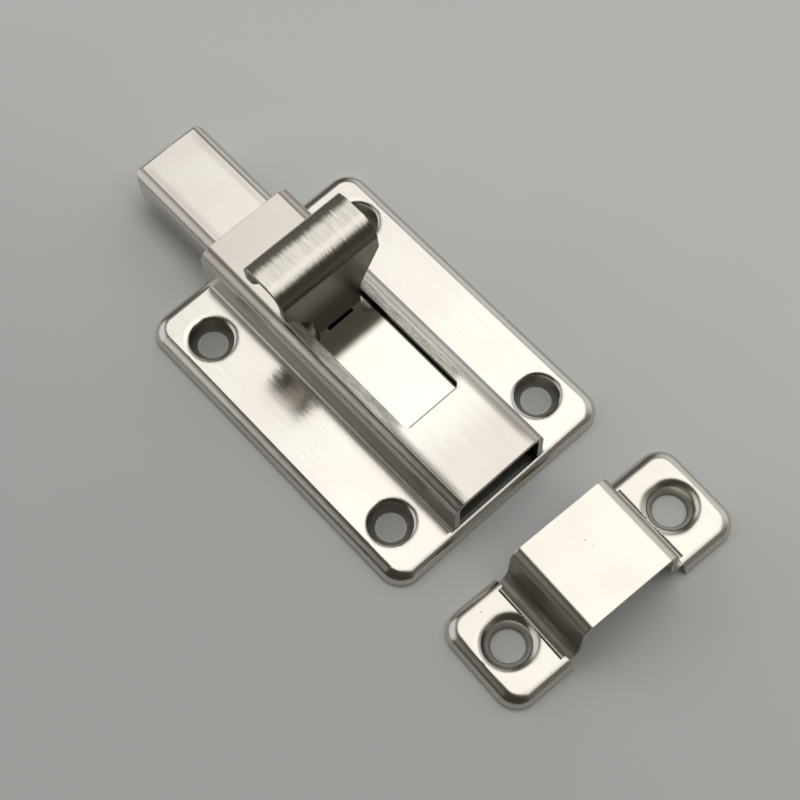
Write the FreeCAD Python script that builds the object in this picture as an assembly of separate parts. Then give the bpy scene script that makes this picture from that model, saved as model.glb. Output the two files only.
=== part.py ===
import FreeCAD, Part
import math
import os

# Spring loaded gate latch with its keeper, all of pressed stainless sheet.
# Millimetres. The plate lies on its back: z = 0 is the mounting plane, +X is the way the bolt
# springs out, and the origin is the centre of the four screw holes.

# Face plate: one pressed sheet with a rolled rim and a raised channel
sheet = 1.0
plate_length = 60.4
plate_width = 44.0
plate_height = 2.4
plate_corner_radius = 3.9
rim_radius = 2.0
channel_width = 18.4
channel_height = 10.5
channel_shoulder_radius = 2.1
channel_foot_radius = 0.7
channel_crease = 0.12
rear_rim_strip = 1.4
window_width = 11.0
window_length = 27.0
window_lead = 4.7
window_corner_radius = 0.9

# Screw holes of the face plate, set in dimples that reach the mounting plane
screw_spacing_x = 42.4
screw_spacing_y = 31.0
screw_hole_radius = 2.5
screw_head_radius = 3.65
screw_hole_land = 0.35
dimple_foot_radius = 0.3
dimple_seat_radius = 0.8
dimple_halo = 1.0
dimple_halo_depth = 0.12

# Back plate: a hat section that closes the hollow back and carries the bolt
back_sheet = 0.8
back_rim_gap = 0.2
dimple_gap = 0.3
pad_width = 15.2
pad_height = 2.5
pad_slope = 1.0
pad_edge_radius = 1.1
pad_foot_radius = 0.3
lug_rear_inset = 5.4
lug_width = 6.0
lug_bend_radius = 0.5
lug_tie = 1.0
lug_top_gap = 0.6
lug_slot_side_gap = 0.3
stop_lug_gap = 0.25
weld_spot_radius = 1.5
weld_spot_depth = 0.25
weld_spot_x = 8.0
weld_spot_y = 12.6

# Bolt: a pressed channel, open below, with a closed and rounded nose
bolt_sheet = 1.0
bolt_width = 14.4
bolt_reach = 19.9
bolt_tail_overlap = 1.9
bolt_top_gap = 0.6
bolt_floor_gap = 0.2
bolt_edge_radius = 2.0
bolt_nose_corner_radius = 1.9
bolt_nose_edge_radius = 0.7
bolt_nose_under_radius = 3.0
bolt_inside_edge_radius = 0.1
tenon_slot_rear_gap = 0.3
tenon_slot_front_gap = 0.05
tenon_slot_side_gap = 0.15

# Thumb tab: a strip with a tenon through the bolt, a tapered stem and a hooked head
tab_sheet = 1.0
tab_x = 7.15
tenon_width = 4.8
tenon_floor_gap = 0.5
stem_foot_width = 8.6
stem_foot_radius = 0.3
stem_neck_width = 9.8
stem_neck_rise = 5.1
stem_neck_radius = 1.5
tab_width = 18.8
tab_wing_rise = 10.9
tab_wing_radius = 1.0
tab_straight_rise = 0.6
tab_lean = 1.2
tab_rise = 16.6
tab_hook_reach = 8.8
tab_hook_drop = 0.7
tab_crown_reach = 2.1
tab_crown_radius = 7.0
tab_lip_height = 6.1
tab_lip_tuck = 0.55
tab_lip_corner_radius = 2.5
tab_foot_bend_radius = 3.0
tab_rear_bend_radius = 3.6
tab_front_bend_radius = 1.3

# Return spring between the lug and the tenon, with a nib in each end
spring_radius = 2.3
spring_wire_radius = 0.275
spring_turns = 14
spring_end_gap = 0.1
nib_radius = 1.35
nib_length = 1.6

# Keeper: one pressed strap with a bridge and two rimmed tabs
keeper_x = -47.65
keeper_y = -1.1
keeper_turn_deg = 2.5
keeper_length = 46.2
keeper_width = 18.0
keeper_height = 2.4
keeper_corner_radius = 3.8
keeper_rim_radius = 2.0
keeper_screw_spacing = 32.9
keeper_hole_radius = 2.7
keeper_dish_radius = 3.9
keeper_seat_radius = 1.8
keeper_halo = 1.4
keeper_step_reach = 2.9
keeper_step_drop = 0.25
keeper_step_slope = 0.2
keeper_strap_lap = 0.8
bridge_width = 18.8
bridge_depth = 15.8
bridge_height = 11.4
bridge_shoulder_radius = 2.0
bridge_foot_radius = 2.4
bridge_flare = 0.5
bridge_side_gap = 2.0

# Drawing limits: how far a cut runs past the metal, how deep joined forms share it, and what is one point
cut_past = 1.0
shared = 0.2
same_point = 1e-6

# Places worked out from the sizes above
plate_front_x = plate_length / 2
plate_rear_x = -plate_length / 2
channel_rear_x = plate_rear_x + rear_rim_strip
bolt_top_z = channel_height - sheet - bolt_top_gap
bolt_bottom_z = pad_height + bolt_floor_gap
bolt_nose_x = plate_front_x + bolt_reach
bolt_roof_z = bolt_top_z - bolt_sheet
spring_axis_z = (pad_height + bolt_roof_z) / 2
tab_front_x = tab_x + tab_sheet
window_front_x = tab_front_x + window_lead
window_rear_x = window_front_x - window_length
bolt_tail_x = window_rear_x - bolt_tail_overlap
lug_x = plate_rear_x + lug_rear_inset
lug_front_x = lug_x + back_sheet
lug_top_z = bolt_roof_z - lug_top_gap
stop_lug_x = tab_front_x + stop_lug_gap + back_sheet


def point(plane, across, up):
    """A point of a drawing plane: XY, XZ or YZ."""
    if plane == "XY":
        return FreeCAD.Vector(across, up, 0)
    if plane == "XZ":
        return FreeCAD.Vector(across, 0, up)
    return FreeCAD.Vector(0, across, up)


def straight(start, end):
    """The straight edge between two points, or none where they are one point."""
    if (end - start).Length < same_point:
        return []
    return [Part.LineSegment(start, end).toShape()]


def rounded_path(points, radii):
    """Edges along a run of points, each inner corner rounded by its own radius."""
    edges = []
    start = points[0]
    for before, corner, after, radius in zip(points, points[1:], points[2:], radii):
        back = (before - corner).normalize()
        ahead = (after - corner).normalize()
        half_angle = back.getAngle(ahead) / 2
        if radius <= 0:
            edges += straight(start, corner)
            start = corner
            continue
        reach = radius / math.tan(half_angle)
        entry = corner + back * reach
        leave = corner + ahead * reach
        middle_way = (back + ahead).normalize()
        middle = corner + middle_way * (radius / math.sin(half_angle) - radius)
        edges += straight(start, entry)
        edges.append(Part.Arc(entry, middle, leave).toShape())
        start = leave
    return edges + straight(start, points[-1])


def profile(plane, corners, radii):
    """A closed face whose corners are rounded by their own radii."""
    ring = [point(plane, *corner) for corner in corners]
    first = (ring[0] + ring[-1]) * 0.5
    run = [first] + ring + [first]
    return Part.Face(Part.Wire(rounded_path(run, radii)))


def bent_strip(plane, corners, radii, thickness):
    """The section of a bent sheet: its outer face runs through the corners, its thickness to the right."""
    offset = []
    turns = []
    for index, corner in enumerate(corners):
        before = corners[max(index - 1, 0)]
        after = corners[min(index + 1, len(corners) - 1)]
        heading_in = math.atan2(corner[1] - before[1], corner[0] - before[0])
        heading_out = math.atan2(after[1] - corner[1], after[0] - corner[0])
        if index == 0:
            heading_in = heading_out
        if index == len(corners) - 1:
            heading_out = heading_in
        turn = math.remainder(heading_out - heading_in, 2 * math.pi)
        heading = heading_in + turn / 2
        reach = thickness / math.cos(turn / 2)
        offset.append((corner[0] + reach * math.sin(heading), corner[1] - reach * math.cos(heading)))
        turns.append(turn)
    inner_radii = [radius + math.copysign(thickness, turn) for radius, turn in zip(radii, turns[1:-1])]
    outer = [point(plane, *corner) for corner in corners]
    inner = [point(plane, *corner) for corner in offset]
    edges = rounded_path(outer, radii)
    edges.append(Part.LineSegment(outer[-1], inner[-1]).toShape())
    edges += rounded_path(inner[::-1], inner_radii[::-1])
    edges.append(Part.LineSegment(inner[0], outer[0]).toShape())
    return Part.Face(Part.Wire(edges))


def along_x(face, low, high):
    placed = face.copy()
    placed.translate(FreeCAD.Vector(low, 0, 0))
    return placed.extrude(FreeCAD.Vector(high - low, 0, 0))


def along_y(face, low, high):
    placed = face.copy()
    placed.translate(FreeCAD.Vector(0, low, 0))
    return placed.extrude(FreeCAD.Vector(0, high - low, 0))


def along_z(face, low, high):
    placed = face.copy()
    placed.translate(FreeCAD.Vector(0, 0, low))
    return placed.extrude(FreeCAD.Vector(0, 0, high - low))


def block(low, high):
    size = [top - bottom for bottom, top in zip(low, high)]
    return Part.makeBox(*size, FreeCAD.Vector(*low))


def pressed_slab(length, width, corner_radius, low, high, edge_radius):
    """A flat slab, centred on the origin, with rounded corners and a rolled top edge."""
    corners = [(-length / 2, -width / 2), (length / 2, -width / 2),
               (length / 2, width / 2), (-length / 2, width / 2)]
    slab = along_z(profile("XY", corners, [corner_radius] * 4), low, high)
    if edge_radius <= 0:
        return slab
    rim = [edge for edge in slab.Edges if min(end.Z for end in edge.Vertexes) > high - same_point]
    return slab.makeFillet(edge_radius, rim)


def turned(corners, radii, x, y):
    """A solid turned about an upright axis from its half section."""
    face = profile("XZ", corners, radii)
    solid = face.revolve(FreeCAD.Vector(0, 0, 0), FreeCAD.Vector(0, 0, 1), 360)
    solid.translate(FreeCAD.Vector(x, y, 0))
    return solid


def dimple_metal(head_radius, hole_radius, height, x, y):
    """The metal of a pressed screw dimple, down to the mounting plane."""
    foot_radius = hole_radius + sheet
    skirt_radius = head_radius + sheet
    corners = [(0, 0), (foot_radius, 0), (skirt_radius, height - sheet),
               (skirt_radius, height - sheet / 2), (0, height - sheet / 2)]
    return turned(corners, [0, dimple_foot_radius, 0, 0, 0], x, y)


def dimple_hollow(head_radius, hole_radius, seat_radius, halo, height, x, y):
    """The dished screw seat and its hole, with a faint hollow round the rim."""
    halo_radius = head_radius + halo
    rim_z = height - dimple_halo_depth
    corners = [(0, height + cut_past), (halo_radius, height + cut_past), (halo_radius, height),
               (head_radius, rim_z), (hole_radius, screw_hole_land), (hole_radius, -cut_past), (0, -cut_past)]
    return turned(corners, [0, 0, 0, seat_radius, 0, 0, 0], x, y)


def screw_places():
    return [(sx * screw_spacing_x / 2, sy * screw_spacing_y / 2) for sx in (1, -1) for sy in (1, -1)]


def channel_section(inset, crease, floor_z):
    """The channel's section, drawn the given distance inside its outer face."""
    half = channel_width / 2 - inset
    radius = channel_shoulder_radius - inset
    top = channel_height - inset
    shoulder = top - crease
    flat = half - radius
    corners = [(-half, floor_z), (half, floor_z), (half, shoulder), (flat, shoulder),
               (flat, top), (-flat, top), (-flat, shoulder), (-half, shoulder)]
    if crease == 0:
        corners = [(-half, floor_z), (half, floor_z), (half, top), (-half, top)]
        return profile("YZ", corners, [0, 0, radius, radius])
    return profile("YZ", corners, [0, 0, radius, 0, 0, 0, 0, radius])


def channel_foot(side, surface_z, radius):
    """The curved corner where a channel wall runs into the flange, above or below the sheet."""
    wall = channel_width / 2
    centre = wall + channel_foot_radius
    arc_top_z = plate_height + channel_foot_radius
    diagonal = radius * math.sqrt(0.5)
    start = point("YZ", side * (centre - radius), arc_top_z)
    middle = point("YZ", side * (centre - diagonal), arc_top_z - diagonal)
    end = point("YZ", side * centre, surface_z)
    below = point("YZ", side * centre, surface_z - shared)
    inside_low = point("YZ", side * (centre - radius - shared), surface_z - shared)
    inside_high = point("YZ", side * (centre - radius - shared), arc_top_z)
    edges = [Part.Arc(start, middle, end).toShape()]
    for one, two in ((end, below), (below, inside_low), (inside_low, inside_high), (inside_high, start)):
        edges.append(Part.LineSegment(one, two).toShape())
    return Part.Face(Part.Wire(edges))


def face_plate():
    flange = pressed_slab(plate_length, plate_width, plate_corner_radius, 0, plate_height, rim_radius)
    channel = along_x(channel_section(0, channel_crease, 0), channel_rear_x, plate_front_x)
    body = flange.fuse(channel)
    feet = [along_x(channel_foot(side, plate_height, channel_foot_radius),
                    channel_rear_x, plate_front_x - rim_radius) for side in (1, -1)]
    body = body.fuse(feet)

    under = plate_height - sheet
    hollow = pressed_slab(plate_length - 2 * sheet, plate_width - 2 * sheet, plate_corner_radius - sheet,
                          -cut_past, under, rim_radius - sheet)
    run = along_x(channel_section(sheet, 0, -cut_past), channel_rear_x, plate_front_x + cut_past)
    inner_radius = channel_foot_radius + sheet
    inner_feet = [along_x(channel_foot(side, under, inner_radius), channel_rear_x,
                          plate_front_x - rim_radius) for side in (1, -1)]
    body = body.cut([hollow, run] + inner_feet)

    places = screw_places()
    body = body.fuse([dimple_metal(screw_head_radius, screw_hole_radius, plate_height, x, y)
                      for x, y in places])
    body = body.cut([dimple_hollow(screw_head_radius, screw_hole_radius, dimple_seat_radius, dimple_halo,
                                   plate_height, x, y) for x, y in places])

    half = window_width / 2
    corners = [(window_rear_x, -half), (window_front_x, -half), (window_front_x, half), (window_rear_x, half)]
    window = along_z(profile("XY", corners, [window_corner_radius] * 4),
                     channel_height - sheet - bolt_top_gap / 2, channel_height + cut_past)
    return body.cut(window)


def nib(middle_x, way, thickness):
    """The round nib that a spring end sits on, from the middle of the sheet that it stands on."""
    return Part.makeCylinder(nib_radius, nib_length + thickness / 2,
                             FreeCAD.Vector(middle_x, 0, spring_axis_z), FreeCAD.Vector(way, 0, 0))


def lug(face_x, way):
    """A lug bent up from the pad: its outer face stands at face_x, and the lug looks the given way along X."""
    line = [(way * face_x - lug_tie, pad_height), (way * face_x, pad_height), (way * face_x, lug_top_z)]
    standing = along_y(bent_strip("XZ", line, [lug_bend_radius], back_sheet), -lug_width / 2, lug_width / 2)
    if way > 0:
        return standing
    return standing.mirror(FreeCAD.Vector(0, 0, 0), FreeCAD.Vector(1, 0, 0))


def lug_slot(face_x, way):
    """The slot that a lug leaves in the pad, on the side that it looks to."""
    half = lug_width / 2 + lug_slot_side_gap
    end_x = face_x + way * (back_sheet + lug_top_z - pad_height)
    return block((min(face_x, end_x), -half, 0), (max(face_x, end_x), half, pad_height + cut_past))


def weld_spots(under_z):
    """The shallow round prints that spot welds leave in the sheet's under face."""
    sphere_radius = (weld_spot_radius ** 2 + weld_spot_depth ** 2) / (2 * weld_spot_depth)
    centre_z = under_z + weld_spot_depth - sphere_radius
    return [Part.makeSphere(sphere_radius, FreeCAD.Vector(x, side * weld_spot_y, centre_z))
            for x in (-weld_spot_x, 0, weld_spot_x) for side in (-1, 1)]


def back_plate():
    length = plate_length - 2 * (rim_radius + back_rim_gap)
    half_width = plate_width / 2 - rim_radius - back_rim_gap
    wing_z = plate_height - sheet
    pad_half = pad_width / 2
    section = [(-half_width, wing_z), (-pad_half - pad_slope, wing_z), (-pad_half, pad_height),
               (pad_half, pad_height), (pad_half + pad_slope, wing_z), (half_width, wing_z)]
    radii = [pad_foot_radius, pad_edge_radius, pad_edge_radius, pad_foot_radius]
    plate = along_x(bent_strip("YZ", section, radii, back_sheet), -length / 2, length / 2)

    corner_radius = plate_corner_radius - rim_radius
    corners = [(-length / 2, -half_width), (length / 2, -half_width),
               (length / 2, half_width), (-length / 2, half_width)]
    plate = plate.common(along_z(profile("XY", corners, [corner_radius] * 4),
                                 -cut_past, pad_height + cut_past))

    clear_radius = screw_head_radius + sheet + dimple_gap
    holes = [Part.makeCylinder(clear_radius, plate_height, FreeCAD.Vector(x, y, 0))
             for x, y in screw_places()]
    lugs = ((lug_x, 1), (stop_lug_x, -1))
    slots = [lug_slot(x, way) for x, way in lugs]
    plate = plate.cut(holes + weld_spots(wing_z - back_sheet) + slots)
    return plate.fuse([lug(x, way) for x, way in lugs] + [nib(lug_x + back_sheet / 2, 1, back_sheet)])


def bolt_form(inset, floor_z, tail_x):
    """The bolt's rounded form, drawn the given distance inside its outer face."""
    half = bolt_width / 2 - inset
    nose_x = bolt_nose_x - inset
    top_z = bolt_top_z - inset
    across = profile("YZ", [(-half, floor_z), (half, floor_z), (half, top_z), (-half, top_z)],
                     [0, 0, bolt_edge_radius - inset, bolt_edge_radius - inset])
    corner_radius = bolt_nose_corner_radius - inset
    plan = profile("XY", [(tail_x, -half), (nose_x, -half), (nose_x, half), (tail_x, half)],
                   [0, corner_radius, corner_radius, 0])
    edge_radius = max(bolt_nose_edge_radius - inset, bolt_inside_edge_radius)
    under_z = bolt_bottom_z + inset
    under_x = bolt_nose_x - bolt_nose_under_radius
    under_radius = bolt_nose_under_radius - inset
    if inset == 0:
        side = profile("XZ", [(tail_x, floor_z), (nose_x, floor_z), (nose_x, top_z), (tail_x, top_z)],
                       [0, under_radius, edge_radius, 0])
    else:
        side = profile("XZ", [(tail_x, floor_z), (under_x, floor_z), (under_x, under_z), (nose_x, under_z),
                              (nose_x, top_z), (tail_x, top_z)],
                       [0, 0, 0, under_radius, edge_radius, 0])
    form = along_x(across, tail_x, bolt_nose_x)
    form = form.common(along_z(plan, floor_z, bolt_top_z))
    return form.common(along_y(side, -bolt_width, bolt_width))


def bolt():
    shell = bolt_form(0, bolt_bottom_z, bolt_tail_x)
    shell = shell.cut(bolt_form(bolt_sheet, bolt_bottom_z - cut_past, bolt_tail_x - cut_past))
    slot_half = tenon_width / 2 + tenon_slot_side_gap
    slot = block((tab_x - tenon_slot_rear_gap, -slot_half, bolt_roof_z - cut_past),
                 (tab_front_x + tenon_slot_front_gap, slot_half, bolt_top_z + cut_past))
    return shell.cut(slot)


def lip_corners(lip_x, low_z):
    """What is cut away to round the lower corners of the tab's lip."""
    half = tab_width / 2
    radius = tab_lip_corner_radius
    past_y = half + cut_past
    past_z = low_z - cut_past
    cuts = []
    for side in (1, -1):
        corners = [(half - radius, past_z), (half - radius, low_z), (half, low_z),
                   (half, low_z + radius), (past_y, low_z + radius), (past_y, past_z)]
        face = profile("YZ", [(side * y, z) for y, z in corners], [0, 0, radius, 0, 0, 0])
        cuts.append(along_x(face, lip_x - 2 * tab_sheet, lip_x + cut_past))
    return cuts


def thumb_tab():
    foot_z = pad_height + tenon_floor_gap
    top_z = bolt_top_z + tab_rise
    hook_x = tab_x + tab_lean + tab_hook_reach
    lip_low_z = top_z - tab_lip_height
    side_line = [(tab_x, foot_z), (tab_x, bolt_top_z + tab_straight_rise), (tab_x + tab_lean, top_z),
                 (hook_x - tab_crown_reach, top_z), (hook_x, top_z - tab_hook_drop),
                 (hook_x - tab_lip_tuck, lip_low_z)]
    radii = [tab_foot_bend_radius, tab_rear_bend_radius, tab_crown_radius, tab_front_bend_radius]
    strip = along_y(bent_strip("XZ", side_line, radii, tab_sheet), -tab_width / 2, tab_width / 2)
    strip = strip.cut(lip_corners(hook_x, lip_low_z))

    neck_z = bolt_top_z + stem_neck_rise
    wing_z = bolt_top_z + tab_wing_rise
    right_side = [(tenon_width / 2, foot_z - cut_past), (tenon_width / 2, bolt_top_z),
                  (stem_foot_width / 2, bolt_top_z), (stem_neck_width / 2, neck_z),
                  (tab_width / 2, wing_z), (tab_width / 2, top_z + cut_past)]
    left_side = [(-y, z) for y, z in right_side[::-1]]
    side_radii = [0, 0, stem_foot_radius, stem_neck_radius, tab_wing_radius, 0]
    outline = profile("YZ", right_side + left_side, side_radii + side_radii[::-1])
    tab = strip.common(along_x(outline, tab_x - cut_past, hook_x + cut_past))
    return tab.fuse(nib(tab_x + tab_sheet / 2, -1, tab_sheet))


def return_spring():
    low = lug_front_x + spring_end_gap + spring_wire_radius
    high = tab_x - spring_end_gap - spring_wire_radius
    coil_radius = spring_radius - spring_wire_radius
    path = Part.makeHelix((high - low) / spring_turns, high - low, coil_radius)
    wire = Part.Wire([Part.makeCircle(spring_wire_radius, FreeCAD.Vector(coil_radius, 0, 0),
                                      FreeCAD.Vector(0, 1, 0))])
    coil = Part.Wire(path).makePipeShell([wire], True, True)
    coil.rotate(FreeCAD.Vector(0, 0, 0), FreeCAD.Vector(0, 1, 0), 90)
    coil.translate(FreeCAD.Vector(low, 0, spring_axis_z))
    return coil


def keeper_tab(side):
    """One of the keeper's two rimmed tabs, open and stepped down on the side that meets the bridge."""
    under = keeper_height - sheet
    slab = pressed_slab(keeper_width, keeper_length, keeper_corner_radius,
                        0, keeper_height, keeper_rim_radius)
    hollow = pressed_slab(keeper_width - 2 * sheet, keeper_length - 2 * sheet, keeper_corner_radius - sheet,
                          -cut_past, under, keeper_rim_radius - sheet)
    inner_end = side * (bridge_width / 2 + bridge_side_gap)
    outer_end = side * keeper_length
    piece = block((-keeper_width, min(inner_end, outer_end), -cut_past),
                  (keeper_width, max(inner_end, outer_end), bridge_height))
    crease_y = bridge_width / 2 + keeper_step_reach
    low_z = keeper_height - keeper_step_drop
    step = [(bridge_width / 2, low_z), (crease_y - keeper_step_slope, low_z), (crease_y, keeper_height),
            (crease_y, bridge_height), (bridge_width / 2, bridge_height)]
    flat_half = keeper_width / 2 - keeper_rim_radius
    step = along_x(profile("YZ", [(side * y, z) for y, z in step], [0] * 5), -flat_half, flat_half)
    return slab.cut(hollow).common(piece).cut(step)


def bridge_strap():
    """The keeper's raised bridge, with its ends narrowed to the flat of the tabs."""
    foot_half = bridge_width / 2 + bridge_flare
    foot_z = keeper_height - keeper_step_drop
    strap_end = bridge_width / 2 + keeper_step_reach + keeper_strap_lap
    line = [(-strap_end, foot_z), (-foot_half, foot_z),
            (-bridge_width / 2, bridge_height), (bridge_width / 2, bridge_height),
            (foot_half, foot_z), (strap_end, foot_z)]
    radii = [bridge_foot_radius, bridge_shoulder_radius, bridge_shoulder_radius, bridge_foot_radius]
    strap = along_x(bent_strip("YZ", line, radii, sheet), -bridge_depth / 2, bridge_depth / 2)
    toe_half = keeper_width / 2 - keeper_rim_radius
    tab_inner = bridge_width / 2 + bridge_side_gap
    toes = [(-toe_half, -strap_end), (toe_half, -strap_end), (toe_half, -tab_inner), (bridge_depth, -tab_inner),
            (bridge_depth, tab_inner), (toe_half, tab_inner), (toe_half, strap_end), (-toe_half, strap_end),
            (-toe_half, tab_inner), (-bridge_depth, tab_inner), (-bridge_depth, -tab_inner),
            (-toe_half, -tab_inner)]
    return strap.common(along_z(profile("XY", toes, [0] * len(toes)), 0, bridge_height))


def keeper():
    body = bridge_strap().fuse([keeper_tab(side) for side in (1, -1)])
    ends = [side * keeper_screw_spacing / 2 for side in (1, -1)]
    body = body.fuse([dimple_metal(keeper_dish_radius, keeper_hole_radius, keeper_height, 0, y)
                      for y in ends])
    body = body.cut([dimple_hollow(keeper_dish_radius, keeper_hole_radius, keeper_seat_radius, keeper_halo,
                                   keeper_height, 0, y) for y in ends])
    body.rotate(FreeCAD.Vector(0, 0, 0), FreeCAD.Vector(0, 0, 1), -keeper_turn_deg)
    body.translate(FreeCAD.Vector(keeper_x, keeper_y, 0))
    return body


def main():
    os.makedirs("parts", exist_ok=True)
    nodes = {
        "face_plate": face_plate(),
        "back_plate": back_plate(),
        "bolt": bolt(),
        "thumb_tab": thumb_tab(),
        "return_spring": return_spring(),
        "keeper": keeper(),
    }
    for name, shape in nodes.items():
        whole = shape.removeSplitter()
        print(name, "solids", len(whole.Solids), "valid", whole.isValid(), "volume", round(whole.Volume, 2))
        whole.exportStep("parts/%s.step" % name)


main()
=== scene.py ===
"""Looks of a spring loaded gate latch and its keeper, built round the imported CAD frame.

The latch is all pressed stainless sheet. Each sub-assembly is a class that makes its pieces, gives
them their finish and rides them on their body. Lengths are in metres, in the CAD's own frame.
"""

from __future__ import annotations

import logging
import math
from dataclasses import dataclass
from enum import Enum
from typing import Any, Sequence

import bmesh
import bpy
from mathutils import Matrix, Vector

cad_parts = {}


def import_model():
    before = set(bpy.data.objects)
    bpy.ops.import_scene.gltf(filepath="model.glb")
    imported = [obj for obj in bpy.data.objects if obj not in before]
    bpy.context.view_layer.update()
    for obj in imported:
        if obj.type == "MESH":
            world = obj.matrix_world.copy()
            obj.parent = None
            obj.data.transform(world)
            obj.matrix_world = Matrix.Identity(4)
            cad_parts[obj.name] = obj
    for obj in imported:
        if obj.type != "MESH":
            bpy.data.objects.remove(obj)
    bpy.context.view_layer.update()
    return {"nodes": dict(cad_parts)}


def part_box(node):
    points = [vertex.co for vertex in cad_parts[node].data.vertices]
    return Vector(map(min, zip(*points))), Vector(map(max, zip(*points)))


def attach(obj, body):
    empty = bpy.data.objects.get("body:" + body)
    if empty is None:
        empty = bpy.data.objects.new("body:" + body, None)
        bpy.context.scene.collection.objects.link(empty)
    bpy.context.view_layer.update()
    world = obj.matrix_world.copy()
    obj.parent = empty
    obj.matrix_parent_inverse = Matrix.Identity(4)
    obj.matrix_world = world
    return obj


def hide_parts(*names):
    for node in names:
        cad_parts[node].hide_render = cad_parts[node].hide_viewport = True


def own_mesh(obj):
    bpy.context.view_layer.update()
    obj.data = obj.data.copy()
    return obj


log = logging.getLogger("gate_latch")

Colour = tuple[float, float, float]
Point = tuple[float, float, float]
Span = tuple[float, float]
Socket = bpy.types.NodeSocket

MM = 0.001
HOUSING = "housing"
SLIDER = "bolt_slider"
ALONG: Point = (1.0, 0.0, 0.0)
ACROSS: Point = (0.0, 1.0, 0.0)


class Grain(Enum):
    """Which way a finish's fine lines run: whether they are drawn out along X, Y and Z."""

    ALONG_BOLT = (True, False, False)
    ROUND_BEND = (True, False, True)
    DRAWN = (True, True, True)


class NodeSheet:
    """A node tree that is filled in by short calls, most of which give back an output socket."""

    def __init__(self, tree: bpy.types.NodeTree) -> None:
        """Starts an empty sheet.

        Args:
            tree: the tree to fill; what it holds is removed.
        """
        self.tree = tree
        self.tree.nodes.clear()

    def node(self, kind: str, inputs: dict[str | int, Any] | None = None, **settings: Any) -> bpy.types.Node:
        """Adds a node.

        Args:
            kind: Blender's name for the node type.
            inputs: what its inputs get, by name or number: another node's output or a plain value.
            settings: properties to set on it.

        Returns:
            The new node.
        """
        made = self.tree.nodes.new(kind)
        for name, value in settings.items():
            setattr(made, name, value)
        for name, value in (inputs or {}).items():
            if isinstance(value, Socket):
                self.tree.links.new(value, made.inputs[name])
            else:
                made.inputs[name].default_value = value
        return made

    def output(self, kind: str, inputs: dict[str | int, Any] | None = None, result: str | int = 0,
               **settings: Any) -> Socket:
        """Adds a node and gives back one of its outputs.

        Args:
            kind: Blender's name for the node type.
            inputs: what its inputs get, by name or number.
            result: the output's name or number.
            settings: properties to set on the node.

        Returns:
            The output.
        """
        return self.node(kind, inputs, **settings).outputs[result]

    def maths(self, operation: str, *values: Any) -> Socket:
        """One Math node.

        Args:
            operation: its operation.
            values: its inputs, in order.

        Returns:
            The result.
        """
        return self.output("ShaderNodeMath", dict(enumerate(values)), operation=operation)

    def vector(self, operation: str, *values: Any, result: str = "Vector") -> Socket:
        """One Vector Math node.

        Args:
            operation: its operation.
            values: its inputs, in order.
            result: "Vector", or "Value" where the operation gives a number.

        Returns:
            The result.
        """
        return self.output("ShaderNodeVectorMath", dict(enumerate(values)), result, operation=operation)

    def split(self, vector: Socket) -> tuple[Socket, ...]:
        """A vector's X, Y and Z."""
        return tuple(self.node("ShaderNodeSeparateXYZ", {0: vector}).outputs)

    def mixed(self, *parts: tuple[Any, Any]) -> Any:
        """Adds up values, each times its weight.

        Args:
            parts: pairs of a value and its weight.

        Returns:
            The sum.
        """
        total: Any = 0.0
        for value, weight in parts:
            total = self.maths("MULTIPLY_ADD", value, weight, total)
        return total

    def swing(self, noise: Socket, reach: Any, middle: Any = 0.0) -> Socket:
        """Lets a value swing with a noise.

        Args:
            noise: the noise, about 0 to 1.
            reach: how far the value swings from end to end.
            middle: the value that it swings about.

        Returns:
            The swinging value.
        """
        return self.maths("MULTIPLY_ADD", self.maths("SUBTRACT", noise, 0.5), reach, middle)

    def ramp(self, value: Any, low: Any, high: Any,
             to_low: Any = 0.0, to_high: Any = 1.0, smooth: bool = True) -> Socket:
        """Maps a value from one span to another, held at both ends.

        Args:
            value: what is mapped.
            low: where the first span starts.
            high: where it ends.
            to_low: the result at its start.
            to_high: the result at its end.
            smooth: whether the change is eased at both ends.

        Returns:
            The mapped value.
        """
        spans = {"Value": value, "From Min": low, "From Max": high, "To Min": to_low, "To Max": to_high}
        return self.output("ShaderNodeMapRange", spans, "Result",
                           interpolation_type="SMOOTHSTEP" if smooth else "LINEAR")

    def noise(self, place: Socket, scale: Point, detail: float = 2.0, roughness: float = 0.5) -> Socket:
        """Noise that is stretched differently along each axis.

        Args:
            place: the coordinates.
            scale: lumps per metre along each axis.
            detail: how many finer layers it has.
            roughness: how strong the finer layers are.

        Returns:
            The noise, about 0 to 1.
        """
        stretched = self.vector("MULTIPLY", place, scale)
        return self.output("ShaderNodeTexNoise", {
            "Vector": stretched, "Scale": 1.0, "Detail": detail, "Roughness": roughness}, "Fac")

    def blend(self, share: Any, one: Any, other: Any) -> Socket:
        """Mixes two colours.

        Args:
            share: the other's share, from 0 to 1.
            one: a colour.
            other: the other colour.

        Returns:
            The mixed colour.
        """
        inputs = {"Factor": share}
        for name, colour in (("A", one), ("B", other)):
            inputs[name] = (*colour, 1.0) if isinstance(colour, tuple) else colour
        return self.output("ShaderNodeMix", inputs, "Result", data_type="RGBA")

    def bump(self, height: Socket, depth: float, under: Socket | None = None) -> Socket:
        """Raises a surface by a height map.

        Args:
            height: the map, about 0 to 1.
            depth: how far its whole range stands up.
            under: the normal to start from, where it isn't the surface's own.

        Returns:
            The new normal.
        """
        inputs = {"Height": height, "Distance": depth, "Strength": 1.0}
        if under is not None:
            inputs["Normal"] = under
        return self.output("ShaderNodeBump", inputs, "Normal")


def tinted(colour: Colour, tint: Colour) -> Colour:
    """A colour seen through a tint."""
    return tuple(channel * share for channel, share in zip(colour, tint))


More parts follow.
